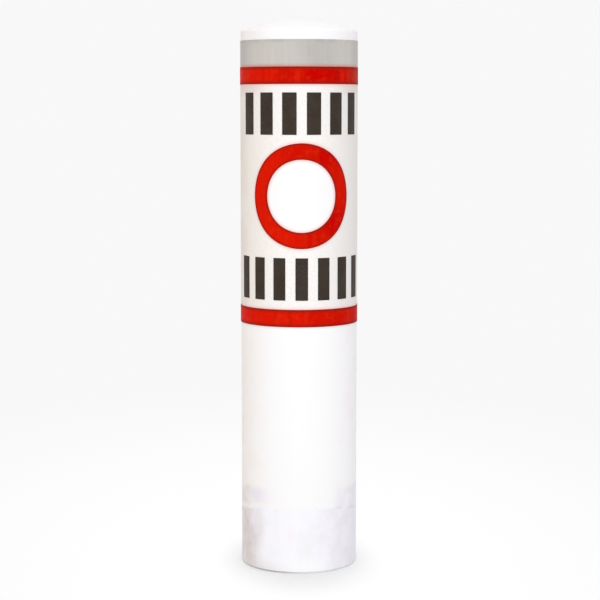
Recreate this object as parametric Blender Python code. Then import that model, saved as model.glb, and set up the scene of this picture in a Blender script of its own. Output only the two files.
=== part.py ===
"""Regulatory buoy: a moulded float with ballast, a mooring eye and wrapped marker films.

Metres, +Z up. The origin is the centre of the flat base. The printed face looks along -Y.
"""
import math

import bmesh
import bpy
from mathutils import Matrix, Vector

# Clearance between pieces that touch
GAP = 0.0003

# Moulded body
BODY_RADIUS = 0.127
BODY_HEIGHT = 1.194
WALL = 0.0045
DOME_RISE = 0.0245
SHOULDER_RADIUS = 0.005
BASE_EDGE_RADIUS = 0.005
INNER_CORNER_RADIUS = 0.006

# Mooring eye: a forged ring and shank, bolted through the roof of its recess
EYE_HOLE_RADIUS = 0.015
EYE_BAR_RADIUS = 0.007
EYE_COLLAR_RADIUS = 0.015
EYE_COLLAR_HEIGHT = 0.005
EYE_COLLAR_BITE = 0.003
EYE_SETBACK = 0.0055
SHANK_RADIUS = 0.008
SHANK_END = 0.003
ANCHOR_PLATE_RADIUS = 0.038
ANCHOR_PLATE_THICKNESS = 0.006
NUT_ACROSS_FLATS = 0.024
NUT_HEIGHT = 0.013

# Recess in the base, which takes the whole eye and leaves room for a shackle beside it
RECESS_ROOM = 0.023
RECESS_DRAFT = math.radians(3)
RECESS_MOUTH_RADIUS = 0.004
RECESS_ROOF_RADIUS = 0.008

# Ballast in the foot
BALLAST_LEVEL = 0.138

# Filling port and its plug, behind the recess
PLUG_RADIUS = 0.0185
PLUG_LENGTH = 0.013
PLUG_FLANGE_RADIUS = 0.0225
PLUG_FLANGE_THICKNESS = 0.003
PLUG_SETBACK = 0.0008
PLUG_SOCKET_WIDTH = 0.014
PLUG_SOCKET_DEPTH = 0.008
SEAL_THICKNESS = 0.0015
BOSS_WALL = 0.0045

# Films wrapped round the body
FILM_THICKNESS = 0.0003
SHEET_THICKNESS = 0.0005
SEAM_WIDTH = 0.0015
SHOULDER_MARGIN = 0.0216
REFLECTIVE_HEIGHT = 0.0560
SHEET_HEIGHT = 0.5534
RED_BAND_HEIGHT = 0.0373

# Marks on the printed face
RING_RADIUS = 0.1120
RING_STROKE = 0.0345
RING_LIFT = 0.0028
UPPER_BLOCKS = 6
UPPER_BLOCK_WIDTH = 0.0312
UPPER_BLOCK_PITCH = 0.0528
UPPER_BLOCK_MARGIN = 0.0177
LOWER_BLOCKS = 7
LOWER_BLOCK_WIDTH = 0.0270
LOWER_BLOCK_PITCH = 0.0489
LOWER_BLOCK_MARGIN = 0.0197

# Fineness of the round shapes
FACETS = 72
FILLER_FACETS = 36
SMALL_FACETS = 32
DOME_STEPS = 6
CORNER_STEPS = 3
RING_STEPS = 64
EYE_STEPS = 32
EYE_BAR_STEPS = 12
SHARP_ANGLE = math.radians(35)

# Sizes that follow from the ones above
BORE_RADIUS = BODY_RADIUS - WALL
EYE_OUTER_RADIUS = EYE_HOLE_RADIUS + 2 * EYE_BAR_RADIUS
EYE_CENTRE = EYE_SETBACK + EYE_OUTER_RADIUS
COLLAR_BOTTOM = EYE_CENTRE + EYE_OUTER_RADIUS - EYE_COLLAR_BITE
RECESS_ROOF = COLLAR_BOTTOM + EYE_COLLAR_HEIGHT + GAP
RECESS_RADIUS = EYE_OUTER_RADIUS + RECESS_ROOM
PLATE_BOTTOM = RECESS_ROOF + WALL + GAP
PLATE_TOP = PLATE_BOTTOM + ANCHOR_PLATE_THICKNESS
NUT_BOTTOM = PLATE_TOP + GAP
NUT_TOP = NUT_BOTTOM + NUT_HEIGHT
NUT_CORNER_RADIUS = NUT_ACROSS_FLATS / 2 / math.cos(math.pi / 6)
SHANK_TOP = NUT_TOP + SHANK_END
FLANGE_TOP = PLUG_SETBACK + PLUG_FLANGE_THICKNESS
SEAL_BOTTOM = FLANGE_TOP + GAP
SEAL_TOP = SEAL_BOTTOM + SEAL_THICKNESS
PORT_STEP = SEAL_TOP + GAP
BOSS_TOP = PORT_STEP + PLUG_LENGTH
BOSS_RADIUS = PLUG_FLANGE_RADIUS + GAP + BOSS_WALL
PORT_CENTRE = Vector((0, (RECESS_RADIUS + WALL + BORE_RADIUS) / 2, 0))
SHEET_INSIDE = BODY_RADIUS + GAP
FILM_ON_SHEET = SHEET_INSIDE + SHEET_THICKNESS + GAP
REFLECTIVE_TOP = BODY_HEIGHT - DOME_RISE - SHOULDER_MARGIN
REFLECTIVE_BOTTOM = REFLECTIVE_TOP - REFLECTIVE_HEIGHT
SHEET_TOP = REFLECTIVE_BOTTOM - GAP
SHEET_BOTTOM = SHEET_TOP - SHEET_HEIGHT
UPPER_RED_BOTTOM = SHEET_TOP - RED_BAND_HEIGHT
LOWER_RED_TOP = SHEET_BOTTOM + RED_BAND_HEIGHT
RING_CENTRE = (SHEET_TOP + SHEET_BOTTOM) / 2 + RING_LIFT
FACET_ANGLE = 2 * math.pi / FACETS


def clear_scene():
    for item in list(bpy.data.objects):
        bpy.data.objects.remove(item, do_unlink=True)


def add_material(name, color, roughness, metallic=0.0):
    material = bpy.data.materials.new(name)
    material.use_nodes = True
    shader = material.node_tree.nodes["Principled BSDF"]
    shader.inputs["Base Color"].default_value = (*color, 1.0)
    shader.inputs["Roughness"].default_value = roughness
    shader.inputs["Metallic"].default_value = metallic
    return material


def face_outwards(bm):
    bmesh.ops.recalc_face_normals(bm, faces=bm.faces)
    if bm.calc_volume(signed=True) < 0:
        bmesh.ops.reverse_faces(bm, faces=bm.faces)


def add_object(name, bm, material):
    """Put a finished bmesh in the scene as one named piece."""
    face_outwards(bm)
    mesh = bpy.data.meshes.new(name)
    bm.to_mesh(mesh)
    bm.free()
    mesh.shade_smooth()
    mesh.set_sharp_from_angle(angle=SHARP_ANGLE)
    mesh.materials.append(material)
    piece = bpy.data.objects.new(name, mesh)
    bpy.context.scene.collection.objects.link(piece)
    return piece


def hide_guide(piece):
    piece.hide_render = True
    piece.display_type = "WIRE"
    return piece


def apply_boolean(piece, tool, operation):
    modifier = piece.modifiers.new(tool.name, "BOOLEAN")
    modifier.object = tool
    modifier.operation = operation
    modifier.solver = "EXACT"


# Turned shapes

def rounded(corners):
    """Outline through (radius, height, corner radius) points, with its corners rounded."""
    points = [Vector((corner[0], 0, corner[1])) for corner in corners]
    outline = []
    for index, corner in enumerate(corners):
        here = points[index]
        if corner[2] == 0:
            outline.append(here)
            continue
        back = (points[index - 1] - here).normalized()
        ahead = (points[index + 1] - here).normalized()
        half = back.angle(ahead) / 2
        centre = here + (back + ahead).normalized() * corner[2] / math.sin(half)
        start = here + back * corner[2] / math.tan(half) - centre
        end = here + ahead * corner[2] / math.tan(half) - centre
        for step in range(CORNER_STEPS + 1):
            outline.append(centre + start.slerp(end, step / CORNER_STEPS) * corner[2])
    return outline


def dome(inset, corner):
    """Outline of the domed top, set in from the outside, from its middle to its side."""
    sphere = (BODY_RADIUS ** 2 + DOME_RISE ** 2) / (2 * DOME_RISE)
    middle = BODY_HEIGHT - sphere
    crown = sphere - inset
    corner_across = BODY_RADIUS - inset - corner
    corner_up = math.sqrt((crown - corner) ** 2 - corner_across ** 2)
    lean = math.atan2(corner_across, corner_up)
    outline = []
    for step in range(DOME_STEPS):
        angle = lean * step / DOME_STEPS
        outline.append(Vector((crown * math.sin(angle), 0, middle + crown * math.cos(angle))))
    for step in range(CORNER_STEPS + 1):
        angle = lean + (math.pi / 2 - lean) * step / CORNER_STEPS
        across = corner_across + corner * math.sin(angle)
        outline.append(Vector((across, 0, middle + corner_up + corner * math.cos(angle))))
    return outline


def recess(inset, foot_corner):
    """Corners of the recess set in from its surface, from the base up to its roof."""
    side = RECESS_RADIUS + inset / math.cos(RECESS_DRAFT)
    roof = RECESS_ROOF + inset
    foot_radius = side - inset * math.tan(RECESS_DRAFT)
    roof_radius = side - roof * math.tan(RECESS_DRAFT)
    return [(foot_radius, inset, foot_corner), (roof_radius, roof, RECESS_ROOF_RADIUS + inset)]


def turn(outline, facets, closed=False):
    """Spin an outline round the Z axis."""
    bm = bmesh.new()
    points = [bm.verts.new(point) for point in outline]
    edges = [bm.edges.new(pair) for pair in zip(points, points[1:])]
    if closed:
        edges.append(bm.edges.new((points[-1], points[0])))
    bmesh.ops.spin(bm, geom=points + edges, cent=(0, 0, 0), axis=(0, 0, 1),
                   angle=2 * math.pi, steps=facets, use_merge=True)
    bmesh.ops.remove_doubles(bm, verts=bm.verts, dist=1e-6)
    return bm


def turned_tube(inside, outside, bottom, top, facets):
    corners = [(outside, top, 0), (outside, bottom, 0), (inside, bottom, 0), (inside, top, 0)]
    return turn(rounded(corners), facets, closed=True)


# Films on the round wall

def facet_radius(radius, angle):
    """Distance from the axis to a facet's face, for a wall whose edges are at radius."""
    from_middle = (angle % FACET_ANGLE) - FACET_ANGLE / 2
    return radius * math.cos(FACET_ANGLE / 2) / math.cos(from_middle)


def wrap(bm, inside, thickness):
    """Thicken a flat sheet, score it at the wall's edges and lay it round the wall."""
    lower_side = list(bm.verts)
    grown = bmesh.ops.extrude_face_region(bm, geom=bm.faces[:])
    for item in grown["geom"]:
        if isinstance(item, bmesh.types.BMVert):
            item.co.y -= thickness
    for vert in lower_side:
        vert.co.y = 0
    bmesh.ops.recalc_face_normals(bm, faces=bm.faces)
    facet_width = inside * FACET_ANGLE
    for line in range(-FACETS // 2, FACETS // 2 + 1):
        everything = bm.verts[:] + bm.edges[:] + bm.faces[:]
        bmesh.ops.bisect_plane(bm, geom=everything, dist=1e-7,
                               plane_co=(line * facet_width, 0, 0), plane_no=(1, 0, 0))
    for vert in bm.verts:
        angle = vert.co.x / inside
        radius = facet_radius(inside - vert.co.y, angle)
        vert.co = Vector((radius * math.sin(angle), -radius * math.cos(angle), vert.co.z))
    return bm


def flat_rectangle(middle, width, bottom, top):
    bm = bmesh.new()
    left, right = middle - width / 2, middle + width / 2
    corners = ((left, bottom), (right, bottom), (right, top), (left, top))
    bm.faces.new([bm.verts.new((across, 0, up)) for across, up in corners])
    return bm


def flat_ring(middle_height, outside, inside):
    bm = bmesh.new()
    place = Matrix.Translation((0, 0, middle_height)) @ Matrix.Rotation(math.pi / 2, 4, "X")
    for radius in (outside, inside):
        bmesh.ops.create_circle(bm, segments=RING_STEPS, radius=radius, matrix=place)
    bmesh.ops.bridge_loops(bm, edges=bm.edges[:])
    return bm


def add_band(name, inside, thickness, bottom, top, material):
    """A strip wrapped right round, with its butt seam at the back."""
    length = 2 * math.pi * inside - SEAM_WIDTH
    sheet = flat_rectangle(0, length, bottom, top)
    return add_object(name, wrap(sheet, inside, thickness), material)


def add_row(name, count, width, pitch, bottom, top, material):
    """A row of upright blocks, centred on the printed face."""
    for index in range(count):
        middle = (index - (count - 1) / 2) * pitch
        sheet = flat_rectangle(middle, width, bottom, top)
        add_object(f"{name}_{index + 1}", wrap(sheet, FILM_ON_SHEET, FILM_THICKNESS), material)


# Pieces

def make_shell(material):
    """One-piece moulded body: wall, domed top, flat base, mooring recess and port boss."""
    mouth, roof = recess(0, RECESS_MOUTH_RADIUS)
    inner_mouth, inner_roof = recess(WALL, INNER_CORNER_RADIUS)
    shank_hole = SHANK_RADIUS + GAP
    outer_dome = dome(0, SHOULDER_RADIUS)
    inner_dome = dome(WALL, INNER_CORNER_RADIUS)
    corners = [
        (BODY_RADIUS, outer_dome[-1].z, 0),
        (BODY_RADIUS, 0, BASE_EDGE_RADIUS),
        mouth,
        roof,
        (shank_hole, RECESS_ROOF, 0),
        (shank_hole, RECESS_ROOF + WALL, 0),
        inner_roof,
        inner_mouth,
        (BORE_RADIUS, WALL, INNER_CORNER_RADIUS),
        (BORE_RADIUS, inner_dome[-1].z, 0),
    ]
    outline = outer_dome[:-1] + rounded(corners) + inner_dome[-2::-1]
    shell = add_object("shell", turn(outline, FACETS), material)

    boss = turn(rounded([(0, BOSS_TOP, 0), (BOSS_RADIUS, BOSS_TOP, 0),
                         (BOSS_RADIUS, WALL / 2, 0), (0, WALL / 2, 0)]), SMALL_FACETS)
    boss = hide_guide(add_object("port_boss", boss, material))
    boss.location = PORT_CENTRE
    apply_boolean(shell, boss, "UNION")

    bore = PLUG_RADIUS + GAP
    counterbore = PLUG_FLANGE_RADIUS + GAP
    port = turn(rounded([(0, BOSS_TOP + WALL, 0), (bore, BOSS_TOP + WALL, 0), (bore, PORT_STEP, 0),
                         (counterbore, PORT_STEP, 0), (counterbore, -WALL, 0), (0, -WALL, 0)]),
                SMALL_FACETS)
    port = hide_guide(add_object("port_cutter", port, material))
    port.location = PORT_CENTRE
    apply_boolean(shell, port, "DIFFERENCE")


def make_foam_core(material):
    """Closed-cell foam that fills the body above the ballast."""
    inset = WALL + GAP
    side = BODY_RADIUS - inset
    bottom = BALLAST_LEVEL + GAP
    outline = dome(inset, INNER_CORNER_RADIUS) + rounded([(side, bottom, 0), (0, bottom, 0)])
    add_object("foam_core", turn(outline, FILLER_FACETS), material)


def make_ballast(material):
    """Ballast cast round the recess, the anchor plate, the nut and the port boss."""
    inset = WALL + GAP
    foot, roof = recess(inset, INNER_CORNER_RADIUS)
    side = BODY_RADIUS - inset
    plate = ANCHOR_PLATE_RADIUS + GAP
    nut = NUT_CORNER_RADIUS + GAP
    shank = SHANK_RADIUS + GAP
    corners = [
        (0, BALLAST_LEVEL, 0),
        (side, BALLAST_LEVEL, 0),
        (side, inset, INNER_CORNER_RADIUS),
        foot,
        roof,
        (plate, roof[1], 0),
        (plate, PLATE_TOP + GAP, 0),
        (nut, PLATE_TOP + GAP, 0),
        (nut, NUT_TOP + GAP, 0),
        (shank, NUT_TOP + GAP, 0),
        (shank, SHANK_TOP + GAP, 0),
        (0, SHANK_TOP + GAP, 0),
    ]
    ballast = add_object("ballast", turn(rounded(corners), FILLER_FACETS), material)

    hollow = turn(rounded([(0, BOSS_TOP + GAP, 0), (BOSS_RADIUS + GAP, BOSS_TOP + GAP, 0),
                           (BOSS_RADIUS + GAP, 0, 0), (0, 0, 0)]), SMALL_FACETS)
    hollow = hide_guide(add_object("boss_hollow_cutter", hollow, material))
    hollow.location = PORT_CENTRE
    apply_boolean(ballast, hollow, "DIFFERENCE")


def make_mooring_eye(material):
    """Forged eye, collar and shank in one piece, hanging from the roof of the recess."""
    stem = rounded([(0, SHANK_TOP, 0), (SHANK_RADIUS, SHANK_TOP, 0),
                    (SHANK_RADIUS, RECESS_ROOF - GAP, 0), (EYE_COLLAR_RADIUS, RECESS_ROOF - GAP, 0),
                    (EYE_COLLAR_RADIUS, COLLAR_BOTTOM, 0), (0, COLLAR_BOTTOM, 0)])
    eye = add_object("mooring_eye", turn(stem, SMALL_FACETS), material)

    bar_middle = EYE_HOLE_RADIUS + EYE_BAR_RADIUS
    bar = []
    for step in range(EYE_BAR_STEPS):
        angle = 2 * math.pi * step / EYE_BAR_STEPS
        bar.append(Vector((bar_middle + EYE_BAR_RADIUS * math.cos(angle), 0,
                           EYE_BAR_RADIUS * math.sin(angle))))
    ring = hide_guide(add_object("eye_ring", turn(bar, EYE_STEPS, closed=True), material))
    ring.rotation_euler = (math.pi / 2, 0, 0)
    ring.location = (0, 0, EYE_CENTRE)
    apply_boolean(eye, ring, "UNION")


def make_anchor(plate_material, nut_material):
    """Round plate and nut that hold the eye's shank above the recess."""
    hole = SHANK_RADIUS + GAP
    plate = turned_tube(hole, ANCHOR_PLATE_RADIUS, PLATE_BOTTOM, PLATE_TOP, SMALL_FACETS)
    add_object("anchor_plate", plate, plate_material)

    nut = bmesh.new()
    height = NUT_TOP - NUT_BOTTOM
    middle = Matrix.Translation((0, 0, NUT_BOTTOM + height / 2))
    bmesh.ops.create_cone(nut, cap_ends=True, segments=6, radius1=NUT_CORNER_RADIUS,
                          radius2=NUT_CORNER_RADIUS, depth=height, matrix=middle)
    nut = add_object("anchor_nut", nut, nut_material)
    thread = bmesh.new()
    bmesh.ops.create_cone(thread, cap_ends=True, segments=SMALL_FACETS, radius1=hole,
                          radius2=hole, depth=2 * height, matrix=middle)
    thread = hide_guide(add_object("nut_bore_cutter", thread, nut_material))
    apply_boolean(nut, thread, "DIFFERENCE")


def make_plug(plug_material, seal_material):
    """Plug with a square drive socket, sunk in the base, and the flat seal over its flange."""
    plug = turn(rounded([(0, BOSS_TOP, 0), (PLUG_RADIUS, BOSS_TOP, 0), (PLUG_RADIUS, FLANGE_TOP, 0),
                         (PLUG_FLANGE_RADIUS, FLANGE_TOP, 0), (PLUG_FLANGE_RADIUS, PLUG_SETBACK, 0),
                         (0, PLUG_SETBACK, 0)]), SMALL_FACETS)
    plug = add_object("fill_plug", plug, plug_material)
    plug.location = PORT_CENTRE

    socket = bmesh.new()
    bmesh.ops.create_cube(socket, size=1)
    bmesh.ops.scale(socket, vec=(PLUG_SOCKET_WIDTH, PLUG_SOCKET_WIDTH, 2 * PLUG_SOCKET_DEPTH),
                    verts=socket.verts)
    socket = hide_guide(add_object("plug_socket_cutter", socket, plug_material))
    socket.location = PORT_CENTRE + Vector((0, 0, PLUG_SETBACK))
    apply_boolean(plug, socket, "DIFFERENCE")

    seal = turned_tube(PLUG_RADIUS + GAP, PLUG_FLANGE_RADIUS, SEAL_BOTTOM, SEAL_TOP, SMALL_FACETS)
    add_object("fill_plug_seal", seal, seal_material).location = PORT_CENTRE


def make_films(reflective, sheet, red, dark):
    """Reflective band on the body, and the marker sheet with its coloured bands and marks."""
    add_band("label_sheet", SHEET_INSIDE, SHEET_THICKNESS, SHEET_BOTTOM, SHEET_TOP, sheet)
    add_band("reflective_band", SHEET_INSIDE, SHEET_THICKNESS, REFLECTIVE_BOTTOM, REFLECTIVE_TOP,
             reflective)
    add_band("upper_red_band", FILM_ON_SHEET, FILM_THICKNESS, UPPER_RED_BOTTOM, SHEET_TOP, red)
    add_band("lower_red_band", FILM_ON_SHEET, FILM_THICKNESS, SHEET_BOTTOM, LOWER_RED_TOP, red)
    ring = flat_ring(RING_CENTRE, RING_RADIUS, RING_RADIUS - RING_STROKE)
    add_object("ring", wrap(ring, FILM_ON_SHEET, FILM_THICKNESS), red)
    add_row("upper_block", UPPER_BLOCKS, UPPER_BLOCK_WIDTH, UPPER_BLOCK_PITCH,
            RING_CENTRE + RING_RADIUS + UPPER_BLOCK_MARGIN, UPPER_RED_BOTTOM - UPPER_BLOCK_MARGIN,
            dark)
    add_row("lower_block", LOWER_BLOCKS, LOWER_BLOCK_WIDTH, LOWER_BLOCK_PITCH,
            LOWER_RED_TOP + LOWER_BLOCK_MARGIN, RING_CENTRE - RING_RADIUS - LOWER_BLOCK_MARGIN,
            dark)


def main():
    clear_scene()
    make_shell(add_material("white_polyethylene", (0.84, 0.82, 0.80), 0.45))
    make_foam_core(add_material("closed_cell_foam", (0.80, 0.74, 0.56), 0.9))
    make_ballast(add_material("concrete", (0.36, 0.35, 0.34), 0.9))
    make_mooring_eye(add_material("galvanised_steel", (0.52, 0.54, 0.56), 0.45, 1.0))
    make_anchor(add_material("plate_steel", (0.45, 0.46, 0.48), 0.5, 1.0),
                add_material("nut_steel", (0.50, 0.51, 0.53), 0.45, 1.0))
    make_plug(add_material("plug_plastic", (0.06, 0.06, 0.065), 0.5),
              add_material("seal_rubber", (0.02, 0.02, 0.02), 0.7))
    make_films(add_material("silver_reflective_film", (0.53, 0.51, 0.48), 0.35),
               add_material("white_vinyl", (0.83, 0.80, 0.77), 0.4),
               add_material("red_vinyl", (0.60, 0.02, 0.008), 0.4),
               add_material("dark_vinyl", (0.035, 0.026, 0.02), 0.45))


main()
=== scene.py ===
"""Looks of the regulatory buoy: fine shapes and procedural finishes over its solids.

Metres, +Z up. The origin is the centre of the flat base. The printed face looks along -Y.
"""

import math

import bmesh
import bpy
from mathutils import Matrix, Vector, noise


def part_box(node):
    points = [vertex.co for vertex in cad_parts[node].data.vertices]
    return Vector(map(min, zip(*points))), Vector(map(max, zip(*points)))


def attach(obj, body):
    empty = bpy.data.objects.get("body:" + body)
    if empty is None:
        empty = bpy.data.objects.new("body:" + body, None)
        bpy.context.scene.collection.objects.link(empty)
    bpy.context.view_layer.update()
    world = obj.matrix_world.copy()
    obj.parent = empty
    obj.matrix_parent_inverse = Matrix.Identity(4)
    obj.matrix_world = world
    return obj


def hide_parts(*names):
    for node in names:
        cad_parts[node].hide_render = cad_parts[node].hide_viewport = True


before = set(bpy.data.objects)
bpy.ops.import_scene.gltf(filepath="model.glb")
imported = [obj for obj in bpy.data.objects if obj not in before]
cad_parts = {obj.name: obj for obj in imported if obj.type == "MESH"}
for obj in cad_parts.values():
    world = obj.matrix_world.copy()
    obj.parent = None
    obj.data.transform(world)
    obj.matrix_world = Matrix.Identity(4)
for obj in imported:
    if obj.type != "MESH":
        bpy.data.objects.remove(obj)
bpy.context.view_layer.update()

# Sizes of the solids, as their source has them
GAP = 0.0003
BODY_RADIUS = 0.127
BODY_HEIGHT = 1.194
WALL = 0.0045
DOME_RISE = 0.0245
SHOULDER_RADIUS = 0.005
BASE_EDGE_RADIUS = 0.005
INNER_CORNER_RADIUS = 0.006
EYE_HOLE_RADIUS = 0.015
EYE_BAR_RADIUS = 0.007
EYE_COLLAR_RADIUS = 0.015
EYE_CENTRE = 0.0345
COLLAR_BOTTOM = 0.0605
SHANK_RADIUS = 0.008
SHANK_TOP = 0.0929
PLATE_RADIUS = 0.038
PLATE_BOTTOM = 0.0706
PLATE_TOP = 0.0766
NUT_ACROSS_FLATS = 0.024
NUT_CORNER_RADIUS = NUT_ACROSS_FLATS / 2 / math.cos(math.pi / 6)
NUT_BOTTOM = 0.0769
NUT_TOP = 0.0899
RECESS_RADIUS = 0.052
RECESS_ROOF = 0.0658
RECESS_DRAFT = math.radians(3)
RECESS_MOUTH_RADIUS = 0.004
RECESS_ROOF_RADIUS = 0.008
BALLAST_LEVEL = 0.138
PORT_CENTRE = Vector((0, 0.0895, 0))
PLUG_RADIUS = 0.0185
PLUG_FLANGE_RADIUS = 0.0225
PLUG_BOTTOM = 0.0008
FLANGE_TOP = 0.0038
PLUG_SOCKET_WIDTH = 0.014
PLUG_SOCKET_DEPTH = 0.008
SEAL_BOTTOM = 0.0041
SEAL_TOP = 0.0056
PORT_STEP = 0.0059
BOSS_RADIUS = 0.0273
BOSS_TOP = 0.0189
SHEET_INSIDE = 0.1273
SHEET_THICKNESS = 0.0005
FILM_INSIDE = 0.1281
FILM_THICKNESS = 0.0003
SEAM_WIDTH = 0.0015
RING_CENTRE = 0.8177
RING_RADIUS = 0.1120
RING_STROKE = 0.0345
UPPER_BLOCKS = 6
UPPER_BLOCK_WIDTH = 0.0312
UPPER_BLOCK_PITCH = 0.0528
LOWER_BLOCKS = 7
LOWER_BLOCK_WIDTH = 0.0270
LOWER_BLOCK_PITCH = 0.0489

# Detail that the solids leave out
CONTACT = 0.00002
BLOCK_CORNER = 0.0011
BAND_RIM = 0.009
RING_RIM = 0.0065
SHEET_MARGIN = 0.0005
WAVE_DEPTH = 0.00022
WAVE_SCALE = 9
WAVE_FADE = 0.03
PLUG_CHAMFER = 0.0008
NUT_CHAMFER = 0.0012
PLATE_EDGE_RADIUS = 0.0008
SHANK_END_RADIUS = 0.0012
COLLAR_TOP_RADIUS = 0.0008
COLLAR_FOOT_RADIUS = 0.002

# Fineness of the shapes
FACETS = 160
SMALL_FACETS = 64
DOME_STEPS = 24
CORNER_STEPS = 8
WALL_ROW = 0.011
RING_STEPS = 160
EYE_STEPS = 72
EYE_BAR_STEPS = 32
EYE_VOXEL = 0.0008
EYE_SMOOTHING = 0.5
EYE_SMOOTH_PASSES = 5
SOCKET_CORNER_STEPS = 4
SHARP_ANGLE = math.radians(32)
MERGE_DISTANCE = 1e-6
SCORE_TOLERANCE = 1e-7

UPPER_RED_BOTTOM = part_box("upper_red_band")[0].z
LOWER_RED_BOTTOM, LOWER_RED_TOP = (corner.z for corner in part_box("lower_red_band"))
WALL_TOP = BODY_HEIGHT - DOME_RISE - SHOULDER_RADIUS
BORE_RADIUS = BODY_RADIUS - WALL
INSET = WALL + GAP


# Shapes

def place_mesh(name, bm):
    """Put a mesh in the scene as it is."""
    mesh = bpy.data.meshes.new(name)
    bm.to_mesh(mesh)
    bm.free()
    piece = bpy.data.objects.new(name, mesh)
    bpy.context.scene.collection.objects.link(piece)
    return piece


def add_object(name, bm):
    """Put a closed shape in the scene, with its faces turned outwards."""
    bmesh.ops.recalc_face_normals(bm, faces=bm.faces)
    if bm.calc_volume(signed=True) < 0:
        bmesh.ops.reverse_faces(bm, faces=bm.faces)
    return place_mesh(name, bm)


def settle(piece):
    """Turn the piece's modifiers into its mesh."""
    evaluated = piece.evaluated_get(bpy.context.evaluated_depsgraph_get())
    piece.data = bpy.data.meshes.new_from_object(evaluated)
    piece.modifiers.clear()


def carve(piece, shape, operation):
    """Join another shape to the piece, cut it out or keep what they share, and remove that shape."""
    modifier = piece.modifiers.new("carve", "BOOLEAN")
    modifier.object = shape
    modifier.operation = operation
    modifier.solver = "EXACT"
    settle(piece)
    bpy.data.objects.remove(shape, do_unlink=True)


def finish_piece(piece, material, slot, *nodes):
    """Give a piece its finish and put it in the place of the solids that it stands for."""
    piece.data.shade_smooth()
    piece.data.set_sharp_from_angle(angle=SHARP_ANGLE)
    piece.data.materials.clear()
    piece.data.materials.append(material)
    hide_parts(*nodes)
    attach(piece, "root")


def rounded(corners):
    """Outline through (radius, height, corner radius) points, with its corners rounded."""
    points = [Vector((corner[0], 0, corner[1])) for corner in corners]
    outline = []
    for index, corner in enumerate(corners):
        here = points[index]
        if corner[2] == 0:
            outline.append(here)
            continue
        back = (points[index - 1] - here).normalized()
        ahead = (points[index + 1] - here).normalized()
        half = back.angle(ahead) / 2
        centre = here + (back + ahead).normalized() * corner[2] / math.sin(half)
        start = here + back * corner[2] / math.tan(half) - centre
        end = here + ahead * corner[2] / math.tan(half) - centre
        for step in range(CORNER_STEPS + 1):
            outline.append(centre + start.slerp(end, step / CORNER_STEPS) * corner[2])
    return outline


def dome(inset, corner):
    """Outline of the domed top, set in from the outside, from its middle to its side."""
    sphere = (BODY_RADIUS ** 2 + DOME_RISE ** 2) / (2 * DOME_RISE)
    middle = BODY_HEIGHT - sphere
    crown = sphere - inset
    corner_across = BODY_RADIUS - inset - corner
    corner_up = math.sqrt((crown - corner) ** 2 - corner_across ** 2)
    lean = math.atan2(corner_across, corner_up)
    outline = []
    for step in range(DOME_STEPS):
        angle = lean * step / DOME_STEPS
        outline.append(Vector((crown * math.sin(angle), 0, middle + crown * math.cos(angle))))
    for step in range(CORNER_STEPS + 1):
        angle = lean + (math.pi / 2 - lean) * step / CORNER_STEPS
        across = corner_across + corner * math.sin(angle)
        outline.append(Vector((across, 0, middle + corner_up + corner * math.cos(angle))))
    return outline


def recess(inset, foot_corner):
    """Corners of the recess set in from its surface, from the base up to its roof."""
    side = RECESS_RADIUS + inset / math.cos(RECESS_DRAFT)
    roof = RECESS_ROOF + inset
    foot_radius = side - inset * math.tan(RECESS_DRAFT)
    roof_radius = side - roof * math.tan(RECESS_DRAFT)
    return [(foot_radius, inset, foot_corner), (roof_radius, roof, RECESS_ROOF_RADIUS + inset)]


def turn(outline, facets, closed=False):
    """Spin an outline round the Z axis."""
    bm = bmesh.new()
    points = [bm.verts.new(point) for point in outline]
    edges = [bm.edges.new(pair) for pair in zip(points, points[1:])]
    if closed:
        edges.append(bm.edges.new((points[-1], points[0])))
    bmesh.ops.spin(bm, geom=points + edges, cent=(0, 0, 0), axis=(0, 0, 1),
                   angle=2 * math.pi, steps=facets, use_merge=True)
    bmesh.ops.remove_doubles(bm, verts=bm.verts, dist=MERGE_DISTANCE)
    return bm


def carve_port(piece, corners, operation):
    """Join a round shape at the port to the piece or cut it out."""
    shape = add_object("port_shape", turn(rounded(corners), SMALL_FACETS))
    shape.location = PORT_CENTRE
    carve(piece, shape, operation)


def waviness(place):
    """How far the moulded wall lies inside its true round."""
    ends = min(place.z, WALL_TOP - place.z) / WAVE_FADE
    fade = max(0, min(1, ends))
    return WAVE_DEPTH * fade * (0.5 + 0.5 * noise.noise(place * WAVE_SCALE))


# Films on the round wall

def flat_strip(width, bottom, top):
    """A fine flat grid, with its upper rim marked 1 and its lower rim -1."""
    bm = bmesh.new()
    rim = bm.verts.layers.float.new("rim")
    rows = max(2, round((top - bottom - 2 * BAND_RIM) / WALL_ROW))
    step = (top - bottom - 2 * BAND_RIM) / rows
    heights = [bottom + BAND_RIM + step * row for row in range(rows + 1)]
    heights = [bottom, *heights, top]
    grid = []
    for up in heights:
        row = [bm.verts.new(((k / FACETS - 0.5) * width, 0, up)) for k in range(FACETS + 1)]
        for vert in row:
            vert[rim] = (up == top) - (up == bottom)
        grid.append(row)
    for low, high in zip(grid, grid[1:]):
        for k in range(FACETS):
            bm.faces.new((low[k], low[k + 1], high[k + 1], high[k]))
    return bm


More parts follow.
